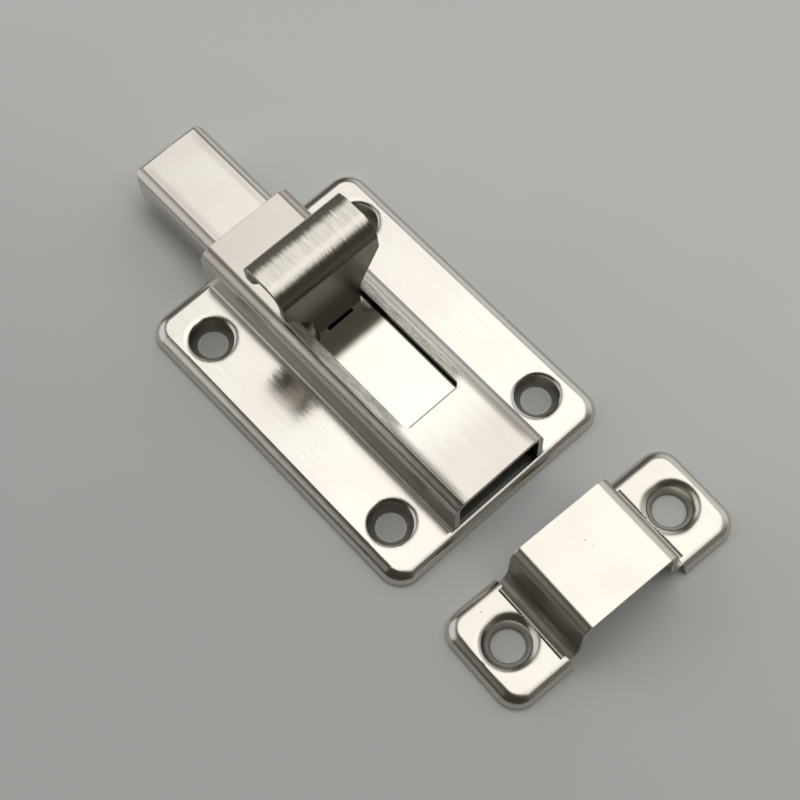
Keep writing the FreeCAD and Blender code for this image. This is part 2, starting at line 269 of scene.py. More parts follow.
@dataclass(frozen=True)
class Round:
    """A round patch of a surface, seen along Z."""

    x: float
    y: float
    radius: float
    fade: float = 0.5 * MM

    def share(self, sheet: NodeSheet, place: Socket) -> Socket:
        """How far a place lies in the patch.

        Args:
            sheet: the material's nodes.
            place: the place, in the finish's own coordinates.

        Returns:
            The share, 0 to 1.
        """
        flat = sheet.vector("MULTIPLY", place, (1.0, 1.0, 0.0))
        apart = sheet.vector("DISTANCE", flat, (self.x, self.y, 0.0), result="Value")
        return sheet.ramp(apart, self.radius - self.fade, self.radius + self.fade, 1.0, 0.0)


@dataclass(frozen=True)
class Strip:
    """A strip of a surface along X, on both sides of the middle, from one height up to another."""

    x_span: Span
    y_span: Span
    low_z: float
    fade: float = 0.25 * MM
    end_fade: float = 0.25 * MM
    high_z: float = 1.0

    def share(self, sheet: NodeSheet, place: Socket) -> Socket:
        """How far a place lies in the strip.

        Args:
            sheet: the material's nodes.
            place: the place, in the finish's own coordinates.

        Returns:
            The share, 0 to 1.
        """
        x, y, z = sheet.split(place)
        inside = sheet.maths("MULTIPLY", sheet.ramp(z, self.low_z - self.fade, self.low_z),
                             sheet.ramp(z, self.high_z, self.high_z + self.fade, 1.0, 0.0))
        for value, (low, high), fade in ((x, self.x_span, self.end_fade),
                                         (sheet.maths("ABSOLUTE", y), self.y_span, self.fade)):
            inside = sheet.maths("MULTIPLY", inside, sheet.ramp(value, low - fade, low + fade))
            inside = sheet.maths("MULTIPLY", inside, sheet.ramp(value, high - fade, high + fade, 1.0, 0.0))
        return inside


def largest(sheet: NodeSheet, place: Socket, patches: Sequence[Round | Strip]) -> Any:
    """The largest share that any of some patches has at a place.

    Args:
        sheet: the material's nodes.
        place: the place, in the finish's own coordinates.
        patches: the patches.

    Returns:
        The share, or a plain 0 where there are no patches.
    """
    share: Any = 0.0
    for patch in patches:
        share = sheet.maths("MAXIMUM", share, patch.share(sheet, place))
    return share


@dataclass(frozen=True)
class Lines:
    """Fine marks that are drawn out along a finish's grain, in lumps per metre."""

    across: float
    along: float
    detail: float = 2.0
    roughness: float = 0.5

    def at(self, sheet: NodeSheet, place: Socket, grain: Grain) -> Socket:
        """The marks at a place.

        Args:
            sheet: the material's nodes.
            place: the place, in the finish's own coordinates.
            grain: which way they are drawn out.

        Returns:
            Their noise, about 0 to 1.
        """
        scale = tuple(self.along if drawn_out else self.across for drawn_out in grain.value)
        return sheet.noise(place, scale, self.detail, self.roughness)


# The marks of the brush, from the finest to the widest, then soft clouds that have no way of their own.
HAIR = Lines(3600, 160, 3.0, 0.6)
FIBRE = Lines(3000, 420)
SCRATCH = Lines(2300, 45, 0.0)
STREAK = Lines(1500, 90, 2.0, 0.55)
BAND = Lines(170, 25, 1.0)
SPECK_GROUP = Lines(210, 210, 0.0)
BLOTCH = Lines(95, 95)
CLOUD = Lines(62, 62, 1.0)

# File marks run across the grain, so each has a scale of its own along every axis.
FILE_CHIPS: Point = (1500, 2300, 900)
FILE_STROKES: Point = (230, 2600, 900)

# The span of a noise, or of a cosine for a cut face, over which each mark comes in.
TONE_SPAN: Span = (0.30, 0.72)
CLOUD_SPAN: Span = (0.38, 0.66)
FILED_SPAN: Span = (0.42, 0.78)
SCRATCH_SPAN: Span = (0.70, 0.76)
CUT_SPAN: Span = (0.86, 0.97)

CLOUD_SHARE, CLOUD_TINT = 0.75, (0.915, 0.88, 0.895)
# The tint of strips dimmed by painted shade.
SHADE_DIM_TINT: Colour = (0.83, 0.805, 0.80)
# The colour of painted shade and painted dark reflections, laid over the metal in its shade patches.
PAINTED_SHADE: Colour = (0.12, 0.108, 0.09)
FILED_DARK: Colour = (0.30, 0.285, 0.26)
FILED_PALE: Colour = (0.62, 0.605, 0.575)
SPECK: Colour = (0.14, 0.12, 0.09)
SPECK_STRENGTH = 0.5
SPECKS_A_METRE = 520.0

# Keeps the shader's tangent from lying along a normal, where it would have no direction.
TANGENT_LEAN = Vector((0.003, 0.005, 0.008))


@dataclass(frozen=True)
class Marks:
    """What varies over a finish, as sockets that its colour, roughness and relief share."""

    place: Socket
    hair: Socket
    streak: Socket
    band: Socket
    blotch: Socket
    filing: Socket
    filed: Any
    # Share of painted shade and painted dark reflection at the place.
    painted_shade: Any
    lively: Socket
    cut: Socket


@dataclass(frozen=True)
class SteelFinish:
    """One finish of bare stainless steel: its grain, its patches of painted shade, and the patches where it
    is worn another way.
    """

    name: str
    slot: str

    # The way of the grain and of the sheared faces, and the finish's own frame on the piece.
    grain: Grain = Grain.ALONG_BOLT
    cut_axis: Point = ALONG
    origin: Point = (0.0, 0.0, 0.0)
    turn_deg: float = 0.0

    # Colour, and how much of each patch's own colour shows.
    pale: Colour = (0.69, 0.675, 0.635)
    dark: Colour = (0.635, 0.62, 0.58)
    # How much of the painted shade's colour shows in its patches.
    painted_shade_share: float = 0.75
    filed_share: float = 0.85
    cut_share: float = 0.55
    speck_share: float = 0.0

    # Roughness, and what each patch adds to it.
    roughness: float = 0.16
    roughness_swing: float = 0.04
    anisotropy: float = 0.45
    cut_roughness: float = 0.18
    painted_shade_roughness: float = 0.14
    dull_roughness: float = 0.16
    filed_roughness: float = 0.24
    bright_behind_x: float | None = None
    bright_roughness: float = 0.09
    bright_fade: float = 2 * MM

    # Relief.
    grain_depth: float = 0.004 * MM
    file_depth: float = 0.03 * MM
    wave_depth: float = 0.050 * MM
    fibre_tilt: float = 0.05

    # Patches: painted shade, with ends that may be ragged, then filed, without grain, dimmed by painted
    # shade, and less glossy.
    painted_shade: tuple[Round | Strip, ...] = ()
    ragged: float = 0.0
    filed: tuple[Strip, ...] = ()
    calm: tuple[Strip, ...] = ()
    shade_dimmed: tuple[Strip, ...] = ()
    dull: tuple[Strip, ...] = ()

    def material(self) -> bpy.types.Material:
        """Builds the node material.

        Returns:
            The finished material.
        """
        made = bpy.data.materials.new(self.name)
        made.use_nodes = True
        sheet = NodeSheet(made.node_tree)
        marks = self.marks(sheet)
        looks = {"Metallic": 1.0, "Anisotropic": self.anisotropy, "Base Color": self.colour(sheet, marks),
                 "Roughness": self.gloss(sheet, marks), "Normal": self.relief(sheet, marks)}
        if self.anisotropy:
            looks["Tangent"] = self.across_grain(sheet)
        sheet.node("ShaderNodeOutputMaterial", {
            "Surface": sheet.output("ShaderNodeBsdfPrincipled", looks, "BSDF")})
        return made

    def marks(self, sheet: NodeSheet) -> Marks:
        """Lays out what varies over the finish.

        Args:
            sheet: the material's nodes.

        Returns:
            The sockets that the other methods read.
        """
        place = self.own_place(sheet)
        hair = HAIR.at(sheet, place, self.grain)
        filing = sheet.mixed((sheet.noise(place, FILE_CHIPS, 3.0, 0.65), 0.45),
                             (sheet.noise(place, FILE_STROKES), 0.75))
        return Marks(
            place=place, hair=hair, filing=filing,
            streak=STREAK.at(sheet, place, self.grain),
            band=BAND.at(sheet, place, self.grain),
            blotch=BLOTCH.at(sheet, place, self.grain),
            filed=largest(sheet, place, self.filed),
            painted_shade=largest(sheet, self.shaken(sheet, place, hair), self.painted_shade),
            lively=sheet.maths("SUBTRACT", 1.0, largest(sheet, place, self.calm)),
            cut=self.cut_face(sheet))

    def own_place(self, sheet: NodeSheet) -> Socket:
        """The place on the piece, in the finish's own frame.

        Args:
            sheet: the material's nodes.

        Returns:
            The place, turned and centred where the finish is.
        """
        place = sheet.output("ShaderNodeTexCoord", result="Object")
        if not self.turn_deg:
            return place
        return sheet.output("ShaderNodeMapping", {
            "Vector": sheet.vector("SUBTRACT", place, self.origin),
            "Rotation": (0.0, 0.0, math.radians(self.turn_deg))})

    def shaken(self, sheet: NodeSheet, place: Socket, hair: Socket) -> Socket:
        """Moves places along the grain by its fine lines, so that a patch's ends come out ragged.

        Args:
            sheet: the material's nodes.
            place: the place.
            hair: the noise of the fine lines.

        Returns:
            The moved place.
        """
        if not self.ragged:
            return place
        shift = sheet.swing(hair, self.ragged)
        return sheet.vector("ADD", place, sheet.vector("MULTIPLY", ALONG, shift))

    def colour(self, sheet: NodeSheet, marks: Marks) -> Socket:
        """The metal's colour, with its grain, clouds, patches and painted shade.

        Args:
            sheet: the material's nodes.
            marks: what varies over the finish.

        Returns:
            The colour.
        """
        tone = sheet.ramp(sheet.mixed((marks.hair, 0.45), (marks.streak, 0.55)), *TONE_SPAN)
        colour = sheet.blend(sheet.swing(tone, marks.lively, 0.5), self.dark, self.pale)
        cloud = CLOUD.at(sheet, marks.place, self.grain)
        colour = sheet.blend(sheet.ramp(cloud, *CLOUD_SPAN, 0.0, CLOUD_SHARE), colour,
                             tinted(self.pale, CLOUD_TINT))
        # Dims the strips that get painted shade.
        colour = sheet.blend(largest(sheet, marks.place, self.shade_dimmed), colour,
                             sheet.vector("MULTIPLY", colour, SHADE_DIM_TINT))
        filed_tone = sheet.blend(sheet.ramp(marks.filing, *FILED_SPAN), FILED_DARK, FILED_PALE)
        # Painted shade and painted dark reflections go over the metal first, then the filed tone and the cut
        # faces' darker tone.
        for share, amount, coat in ((marks.painted_shade, self.painted_shade_share, PAINTED_SHADE),
                                    (marks.filed, self.filed_share, filed_tone),
                                    (marks.cut, self.cut_share, self.dark)):
            colour = sheet.blend(sheet.maths("MULTIPLY", share, amount), colour, coat)
        return self.specked(sheet, marks.place, colour) if self.speck_share else colour

    def specked(self, sheet: NodeSheet, place: Socket, colour: Socket) -> Socket:
        """Sprinkles small dark specks over the metal, in loose groups.

        Args:
            sheet: the material's nodes.
            place: the place, in the finish's own coordinates.
            colour: the colour under them.

        Returns:
            The colour with the specks in it.
        """
        centre = sheet.output("ShaderNodeTexVoronoi", {"Vector": place, "Scale": SPECKS_A_METRE}, "Distance")
        group = sheet.ramp(SPECK_GROUP.at(sheet, place, self.grain), 0.62 - self.speck_share, 0.66)
        speck = sheet.maths("MULTIPLY", sheet.ramp(centre, 0.05, 0.11, 1.0, 0.0), group)
        return sheet.blend(sheet.maths("MULTIPLY", speck, SPECK_STRENGTH), colour, SPECK)

    def gloss(self, sheet: NodeSheet, marks: Marks) -> Socket:
        """The metal's roughness.

        Args:
            sheet: the material's nodes.
            marks: what varies over the finish.

        Returns:
            The roughness, 0 to 1.
        """
        rough: Any = self.roughness
        for noise, reach in ((marks.hair, 1.0), (marks.band, 1.0), (marks.blotch, 0.8)):
            rough = sheet.swing(noise, reach * self.roughness_swing, rough)
        if self.bright_behind_x is not None:
            ahead = sheet.ramp(sheet.split(marks.place)[0], self.bright_behind_x - self.bright_fade,
                               self.bright_behind_x)
            rough = sheet.maths("MULTIPLY_ADD", sheet.maths("SUBTRACT", rough, self.bright_roughness),
                                ahead, self.bright_roughness)
        dull = largest(sheet, marks.place, self.dull)
        return sheet.mixed((rough, 1.0), (marks.cut, self.cut_roughness), (marks.painted_shade, self.painted_shade_roughness),
                           (dull, self.dull_roughness), (marks.filed, self.filed_roughness))

    def relief(self, sheet: NodeSheet, marks: Marks) -> Socket:
        """The metal's surface: grain and file marks on soft waves, with fibres that glint.

        Args:
            sheet: the material's nodes.
            marks: what varies over the finish.

        Returns:
            The normal.
        """
        scratch = sheet.ramp(SCRATCH.at(sheet, marks.place, self.grain), *SCRATCH_SPAN)
        grain = sheet.mixed((marks.hair, 1.0), (marks.streak, 0.9), (scratch, -0.4))
        file_marks = sheet.maths("MULTIPLY", marks.filing, self.file_depth / self.grain_depth)
        normal = sheet.bump(sheet.mixed((grain, marks.lively), (file_marks, marks.filed)), self.grain_depth)
        normal = sheet.bump(sheet.mixed((marks.blotch, 1.0), (marks.band, 0.35)), self.wave_depth, normal)
        tilt = sheet.swing(FIBRE.at(sheet, marks.place, self.grain), self.fibre_tilt)
        lean = sheet.vector("MULTIPLY", self.along_grain(sheet), sheet.maths("MULTIPLY", tilt, marks.lively))
        return sheet.vector("NORMALIZE", sheet.vector("ADD", normal, lean))

    def turned(self, way: Point) -> Vector:
        """A direction of the finish's own frame, as the piece has it."""
        return Matrix.Rotation(-math.radians(self.turn_deg), 3, "Z") @ Vector(way)

    def cut_face(self, sheet: NodeSheet) -> Socket:
        """How far a face looks along the cut axis: 1 on a sheared sheet edge.

        Args:
            sheet: the material's nodes.

        Returns:
            The share, 0 to 1.
        """
        normal = sheet.output("ShaderNodeNewGeometry", result="True Normal")
        facing = sheet.vector("DOT_PRODUCT", normal, self.turned(self.cut_axis), result="Value")
        return sheet.ramp(sheet.maths("ABSOLUTE", facing), *CUT_SPAN)

    def along_grain(self, sheet: NodeSheet) -> Socket | Vector:
        """The direction in which the brush ran.

        Args:
            sheet: the material's nodes.

        Returns:
            A direction that lies along the grain.
        """
        if self.grain is Grain.ROUND_BEND:
            normal = sheet.output("ShaderNodeNewGeometry", result="Normal")
            return sheet.vector("CROSS_PRODUCT", ACROSS, normal)
        return self.turned(ALONG)

    def across_grain(self, sheet: NodeSheet) -> Socket:
        """The direction on the surface that lies across the grain.

        Args:
            sheet: the material's nodes.

        Returns:
            A vector for the shader's tangent.
        """
        if self.grain is Grain.ROUND_BEND:
            return sheet.vector("ADD", ACROSS, TANGENT_LEAN)
        normal = sheet.output("ShaderNodeNewGeometry", result="Normal")
        return sheet.vector("ADD", sheet.vector("CROSS_PRODUCT", normal, self.turned(ALONG)), TANGENT_LEAN)


# Places that the patches follow. A span that starts at MIDDLE has no edge at the middle line, and one that
# ends PAST_PLATE runs out over the plate's end.
MIDDLE = -1 * MM
PAST_PLATE = 34 * MM
SCREW_X, SCREW_Y = 21.2 * MM, 15.5 * MM
CHANNEL_TOP: dict[str, Any] = {"y_span": (MIDDLE, 10 * MM), "low_z": 9.9 * MM, "fade": 0.8 * MM}
WINDOW_REAR, WINDOW_FRONT, WINDOW_TOP = -14.15 * MM, 12.85 * MM, 10.2 * MM
KEEPER_HOLE_Y = 16.45 * MM


def at_screws(radius: float, fade: float) -> tuple[Round, ...]:
    """A round patch at each of the face plate's screw holes.

    Args:
        radius: the patches' radius.
        fade: how softly they end.

    Returns:
        The four patches.
    """
    return tuple(Round(x, y, radius, fade) for x in (-SCREW_X, SCREW_X) for y in (-SCREW_Y, SCREW_Y))


# Painted shade in the face plate's screw dishes.
SCREW_DISHES = at_screws(3.55 * MM, 0.25 * MM)
# A painted dark reflection along the window's rear edge.
WINDOW_REAR_EDGE = Strip((WINDOW_REAR - 0.23 * MM, WINDOW_REAR + 0.03 * MM), (MIDDLE, 5.0 * MM),
                         WINDOW_TOP, fade=0.3 * MM, end_fade=0.05 * MM)
WINDOW_FILING = Strip((WINDOW_REAR + 0.95 * MM, WINDOW_FRONT + 0.55 * MM), (4.6 * MM, 7.0 * MM),
                      WINDOW_TOP, end_fade=1.3 * MM)
# Painted shade along the channel's shoulder behind the window.
SHOULDER_SHADE = Strip((-28 * MM, -12 * MM), (6.55 * MM, 7.30 * MM), 9.9 * MM, fade=0.70 * MM,
                      end_fade=3 * MM)
# Painted shade inside the channel.
CHANNEL_INSIDE = Strip((-PAST_PLATE, PAST_PLATE), (MIDDLE, 8.15 * MM), 2.8 * MM, fade=0.2 * MM,
                       high_z=9.45 * MM)
CHANNEL_FOOT = Strip((-PAST_PLATE, PAST_PLATE), (8.7 * MM, 9.6 * MM), 2.7 * MM, fade=0.4 * MM)
# The channel's top ahead of the window and behind it, dimmed by painted shade; ahead of the window it also
# has no grain.
FRONT_TOP = Strip((13.6 * MM, PAST_PLATE), end_fade=0.8 * MM, **CHANNEL_TOP)
REAR_TOP = Strip((-PAST_PLATE, -19 * MM), end_fade=4 * MM, **CHANNEL_TOP)
# Painted shade on the back plate under the bolt.
UNDER_BOLT_SHADE = Strip((-PAST_PLATE, PAST_PLATE), (MIDDLE, 9 * MM), 2.3 * MM)
# A painted shade band along the bolt's shoulders.
BOLT_SHOULDERS = Strip((28 * MM, 49 * MM), (4.2 * MM, 5.3 * MM), 8 * MM, fade=0.7 * MM, end_fade=1.5 * MM)
# A painted dark reflection of the tab on the bolt's top under it.
UNDER_TAB = Strip((2.4 * MM, 7.6 * MM), (MIDDLE, 5.6 * MM), 8.6 * MM, fade=0.9 * MM, end_fade=0.9 * MM)
# Painted shade over the tab's rear bend.
TAB_FRONT = Strip((6.0 * MM, 9.9 * MM), (MIDDLE, 11 * MM), 2 * MM, fade=0.55 * MM, end_fade=0.7 * MM)
# Painted shade in the keeper's dishes and along its creases.
KEEPER_DISHES = tuple(Round(0.0, y, 3.0 * MM, 0.45 * MM) for y in (KEEPER_HOLE_Y, -KEEPER_HOLE_Y))
KEEPER_CREASES = Strip((-9 * MM, 9 * MM), (9.0 * MM, 10.4 * MM), 2.6 * MM, fade=0.7 * MM)

PLATE_STEEL = SteelFinish(
    "brushed_plate_steel", "brushed_plate", painted_shade_share=0.70,
    painted_shade=(*SCREW_DISHES, WINDOW_REAR_EDGE, SHOULDER_SHADE, CHANNEL_INSIDE), filed=(WINDOW_FILING,),
    calm=(FRONT_TOP,), shade_dimmed=(FRONT_TOP, REAR_TOP), dull=(CHANNEL_FOOT,))
BACK_STEEL = SteelFinish(
    "plain_sheet_steel", "plain_sheet", pale=(0.60, 0.59, 0.56), dark=(0.46, 0.45, 0.43),
    roughness=0.40, anisotropy=0.15, grain_depth=0.006 * MM, painted_shade=(UNDER_BOLT_SHADE,), painted_shade_share=0.9)
BOLT_STEEL = SteelFinish(
    "satin_bolt_steel", "satin_bolt", pale=(0.70, 0.685, 0.645), dark=(0.655, 0.64, 0.60),
    roughness=0.20, roughness_swing=0.03, anisotropy=0.0, bright_behind_x=29 * MM, bright_roughness=0.11,
    grain_depth=0.001 * MM, wave_depth=0.040 * MM, fibre_tilt=0.0,
    shade_dimmed=(BOLT_SHOULDERS,), painted_shade=(UNDER_TAB,), painted_shade_share=0.95, painted_shade_roughness=0.02)
TAB_STEEL = SteelFinish(
    "brushed_tab_steel", "brushed_tab", grain=Grain.ROUND_BEND, cut_axis=ACROSS,
    pale=(0.585, 0.56, 0.52), dark=(0.51, 0.49, 0.45), roughness=0.19, anisotropy=0.30, fibre_tilt=0.17,
    painted_shade=(TAB_FRONT,), painted_shade_share=0.84, ragged=1.8 * MM)
KEEPER_STEEL = SteelFinish(
    "brushed_keeper_steel", "brushed_keeper", origin=(-47.65 * MM, -1.1 * MM, 0.0), turn_deg=2.5,
    pale=(0.685, 0.67, 0.615), dark=(0.65, 0.635, 0.58), speck_share=0.03, roughness=0.23, anisotropy=0.1,
    grain_depth=0.001 * MM, wave_depth=0.09 * MM, fibre_tilt=0.02, painted_shade=(*KEEPER_DISHES, KEEPER_CREASES))
WIRE_STEEL = SteelFinish(
    "drawn_spring_wire", "spring_wire", grain=Grain.DRAWN, pale=(0.60, 0.60, 0.60), dark=(0.44, 0.44, 0.45),
    roughness=0.24, roughness_swing=0.08, anisotropy=0.0,
    grain_depth=0.002 * MM, wave_depth=0.004 * MM, fibre_tilt=0.0)


@dataclass(frozen=True)
class FloorFinish:
    """The plain pale floor, with a painted light falloff that dims one side, and painted shade under the
    screw holes.
    """

    name: str = "plain_floor"
    colour: Colour = (0.875, 0.883, 0.897)
    # How dark the painted light falloff leaves the dim side.
    dimmest: float = 0.76
    pale_way: Point = (0.35, -0.94, 0.0)
    fade_reach: float = 62 * MM
    mottle_scale: Point = (60, 60, 60)
    mottle: float = 0.12
    roughness: float = 0.55
    # The painted shade under the screw holes.
    shade_colour: Colour = (0.16, 0.15, 0.13)
    shade_share: float = 0.32
    shaded: tuple[Round, ...] = at_screws(2.3 * MM, 0.5 * MM)

    def material(self) -> bpy.types.Material:
        """Builds the floor's material.

        Returns:
            The finished material.
        """
        made = bpy.data.materials.new(self.name)
        made.use_nodes = True
        sheet = NodeSheet(made.node_tree)
        place = sheet.output("ShaderNodeTexCoord", result="Object")
        # Painted light falloff across the floor, with a random mottle.
        reached = sheet.vector("DOT_PRODUCT", place, Vector(self.pale_way).normalized(), result="Value")
        pale = sheet.mixed((sheet.ramp(reached, -self.fade_reach, self.fade_reach), 1.0),
                           (sheet.noise(place, self.mottle_scale, 3.0), self.mottle))
        colour = sheet.blend(pale, tinted(self.colour, (self.dimmest,) * 3), self.colour)
        # Painted shade under the screw holes.
        shade = sheet.maths("MULTIPLY", largest(sheet, place, self.shaded), self.shade_share)
        colour = sheet.blend(shade, colour, self.shade_colour)
        looks = {"Base Color": colour, "Roughness": self.roughness}
        sheet.node("ShaderNodeOutputMaterial", {
            "Surface": sheet.output("ShaderNodeBsdfPrincipled", looks, "BSDF")})
        return made


def linked(name: str, data: bpy.types.ID) -> bpy.types.Object:
    """Puts some data into the scene as an object.

    Args:
        name: the object's name.
        data: its mesh or camera.

    Returns:
        The object.
    """
    made = bpy.data.objects.new(name, data)
    bpy.context.scene.collection.objects.link(made)
    return made


def plain_mesh(worked: bpy.types.Object) -> bpy.types.Object:
    """Turns an object with modifiers into one with the mesh that they give, and none left.

    Args:
        worked: the object; its modifiers are applied and removed.

    Returns:
        The same object.
    """
    bpy.context.view_layer.update()
    graph = bpy.context.evaluated_depsgraph_get()
    result = bpy.data.meshes.new_from_object(worked.evaluated_get(graph), depsgraph=graph)
    result.name = worked.name
    worked.modifiers.clear()
    worked.data = result
    return worked


def dress(piece: bpy.types.Object, finish: SteelFinish, material: bpy.types.Material, body: str,
          *stands_for: str) -> bpy.types.Object:
    """Gives a finished piece its material and its body, and hides the CAD nodes that it replaces.

    Args:
        piece: the piece.
        finish: its finish; not used.
        material: that finish's material.
        body: the CAD body that it rides on.
        stands_for: the CAD nodes that it replaces.

    Returns:
        The same piece.
    """
    piece.data.materials.clear()
    piece.data.materials.append(material)
    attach(piece, body)
    if stands_for:
        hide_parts(*stands_for)
    log.info("%s: %d faces, on %s", piece.name, len(piece.data.polygons), body)
    return piece


@dataclass(frozen=True)
class SheetPiece:
    """A piece of pressed sheet: the CAD solid's form, with its sheared edges eased."""

    node: str
    name: str
    finish: SteelFinish
    body: str
    ease: float = 0.10 * MM
    segments: int = 2
    sharp_deg: float = 33.0
    flat_deg: float = 0.25
    weld: float = 1e-7
    full_ease_room: float = 2.4
    most_room: float = 4.0
    runs_on: float = -0.86

    def build(self, source: bpy.types.Object) -> bpy.types.Object:
        """Makes the piece from its CAD node.

        Args:
            source: the CAD node's object, which is left as it is.

        Returns:
            The finished piece.
        """
        piece = linked(self.name, self.marked_form(source))
        eased = piece.modifiers.new("eased_edges", "BEVEL")
        eased.width = self.ease
        eased.segments = self.segments
        eased.limit_method = "WEIGHT"
        eased.offset_type = "ABSOLUTE"
        eased.use_clamp_overlap = False
        normals = piece.modifiers.new("flat_faces_lead", "WEIGHTED_NORMAL")
        normals.keep_sharp = True
        plain_mesh(piece)
        return dress(piece, self.finish, self.finish.material(), self.body, self.node)

    def marked_form(self, source: bpy.types.Object) -> bpy.types.Mesh:
        """Copies the CAD form with its flat faces whole and its sharp edges marked for easing.

        Args:
            source: the CAD node's object.

        Returns:
            The new mesh.
        """
        form = bmesh.new()
        form.from_mesh(source.data)
        bmesh.ops.remove_doubles(form, verts=form.verts, dist=self.weld)
        bmesh.ops.dissolve_limit(form, angle_limit=math.radians(self.flat_deg), verts=form.verts,
                                 edges=form.edges)
        for face in form.faces:
            face.smooth = True
        weight = form.edges.layers.float.new("bevel_weight_edge")
        sharp_angle = math.radians(self.sharp_deg)
        for edge in form.edges:
            edge.smooth = len(edge.link_faces) != 2 or edge.calc_face_angle(0.0) < sharp_angle
            if not edge.smooth:
                edge[weight] = min(1.0, self.room(edge) / (self.full_ease_room * self.ease))
        mesh = bpy.data.meshes.new(self.name)
        form.to_mesh(mesh)
        form.free()
        return mesh

    def room(self, edge: bmesh.types.BMEdge) -> float:
        """How far the faces beside an edge reach, so that an easing stays on them.

        Args:
            edge: a sharp edge.

        Returns:
            The shortest side edge that leaves one of its ends, leaving out those that run on from it.
        """
        reach = edge.calc_length() * self.most_room
        for end in edge.verts:
            along = (edge.other_vert(end).co - end.co).normalized()
            for side in end.link_edges:
                if side is edge:
                    continue
                away = (side.other_vert(end).co - end.co).normalized()
                if away.dot(along) > self.runs_on:
                    reach = min(reach, side.calc_length())
        return reach


@dataclass(frozen=True)
class ReturnSpring:
    """The closed compression spring, coiled by a node tree."""

    start_x: float
    length: float
    axis_z: float
    coil_radius: float = 2.025 * MM
    wire_radius: float = 0.275 * MM
    wire_sides: int = 12
    turns: float = 15.0
    closed_turns: float = 1.1
    closed_pitch: float = 2.1
    points_a_turn: int = 26
    finish: SteelFinish = WIRE_STEEL
    fixed_end_x: float = -24.0 * MM
    keep: float = 0.36

    def tree(self, material: bpy.types.Material) -> bpy.types.NodeTree:
        """Builds the coiling tree.

        Args:
            material: the wire's material.

        Returns:
            A geometry tree with named inputs for the coil's sizes.
        """
        made = bpy.data.node_groups.new("coil_spring", "GeometryNodeTree")
        made.interface.new_socket("Geometry", in_out="OUTPUT", socket_type="NodeSocketGeometry")
        points = int(self.turns * self.points_a_turn)
        for name, start in (("Length", self.length), ("Coil Radius", self.coil_radius),
                            ("Wire Radius", self.wire_radius), ("Turns", self.turns),
                            ("Closed Turns", self.closed_turns), ("Points", points)):
            kind = "NodeSocketInt" if isinstance(start, int) else "NodeSocketFloat"
            made.interface.new_socket(name, in_out="INPUT", socket_type=kind).default_value = start

        sheet = NodeSheet(made)
        given = sheet.node("NodeGroupInput").outputs
        line = sheet.output("GeometryNodeMeshLine", {"Count": given["Points"]}, "Mesh",
                            mode="OFFSET", count_mode="TOTAL")
        line = sheet.output("GeometryNodeMeshToCurve", {"Mesh": line}, "Curve")
        share = sheet.maths("DIVIDE", sheet.output("GeometryNodeInputIndex"),
                            sheet.maths("SUBTRACT", given["Points"], 1.0))
        angle = sheet.maths("MULTIPLY", sheet.maths("MULTIPLY", share, given["Turns"]), math.tau)
        place = sheet.output("ShaderNodeCombineXYZ", {
            "X": self.rise(sheet, given, share),
            "Y": sheet.maths("MULTIPLY", sheet.maths("COSINE", angle), given["Coil Radius"]),
            "Z": sheet.maths("MULTIPLY", sheet.maths("SINE", angle), given["Coil Radius"])})
        coiled = sheet.output("GeometryNodeSetPosition", {"Geometry": line, "Position": place})
        section = sheet.output("GeometryNodeCurvePrimitiveCircle", {
            "Resolution": self.wire_sides, "Radius": given["Wire Radius"]}, "Curve", mode="RADIUS")
        wire = sheet.output("GeometryNodeCurveToMesh", {
            "Curve": coiled, "Profile Curve": section, "Fill Caps": True})
        rounded = sheet.output("GeometryNodeSetShadeSmooth", {"Geometry": wire})
        real = sheet.output("GeometryNodeRealizeInstances", {"Geometry": rounded})
        coated = sheet.output("GeometryNodeSetMaterial", {"Geometry": real, "Material": material})
        sheet.node("NodeGroupOutput", {0: coated})
        return made

    def rise(self, sheet: NodeSheet, given: bpy.types.bpy_prop_collection, share: Socket) -> Socket:
        """How far along its axis the wire has come: close wound at both ends and open between.

        Args:
            sheet: the tree's nodes.
            given: the tree's named inputs.
            share: how much of the wire lies behind, 0 to 1.

        Returns:
            The distance from the coil's start.
        """
        closed = sheet.maths("DIVIDE", given["Closed Turns"], given["Turns"])
        closed_again = sheet.maths("SUBTRACT", 1.0, closed)
        pitches = sheet.maths("MULTIPLY", given["Closed Turns"], self.closed_pitch)
        closed_rise = sheet.maths("DIVIDE", sheet.maths("MULTIPLY", given["Wire Radius"], pitches),
                                  given["Length"])
        open_rise = sheet.maths("SUBTRACT", 1.0, sheet.maths("MULTIPLY", closed_rise, 2.0))
        stages = ((0.0, closed, closed_rise), (closed, closed_again, open_rise),
                  (closed_again, 1.0, closed_rise))
        risen = [sheet.ramp(share, start, end, 0.0, height, smooth=False) for start, end, height in stages]
        return sheet.maths("MULTIPLY", sheet.mixed(*((height, 1.0) for height in risen)), given["Length"])

    def build(self) -> bpy.types.Object:
        """Coils the spring and puts it in its place.

        Returns:
            The finished piece.
        """
        material = self.finish.material()
        piece = linked("spring_coil", bpy.data.meshes.new("spring_coil"))
        piece.modifiers.new("growth", "NODES").node_group = self.tree(material)
        plain_mesh(piece)
        piece.data.transform(Matrix.Translation((self.start_x, 0.0, self.axis_z)))
        dress(piece, self.finish, material, HOUSING, "return_spring")
        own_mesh(piece)
        return piece


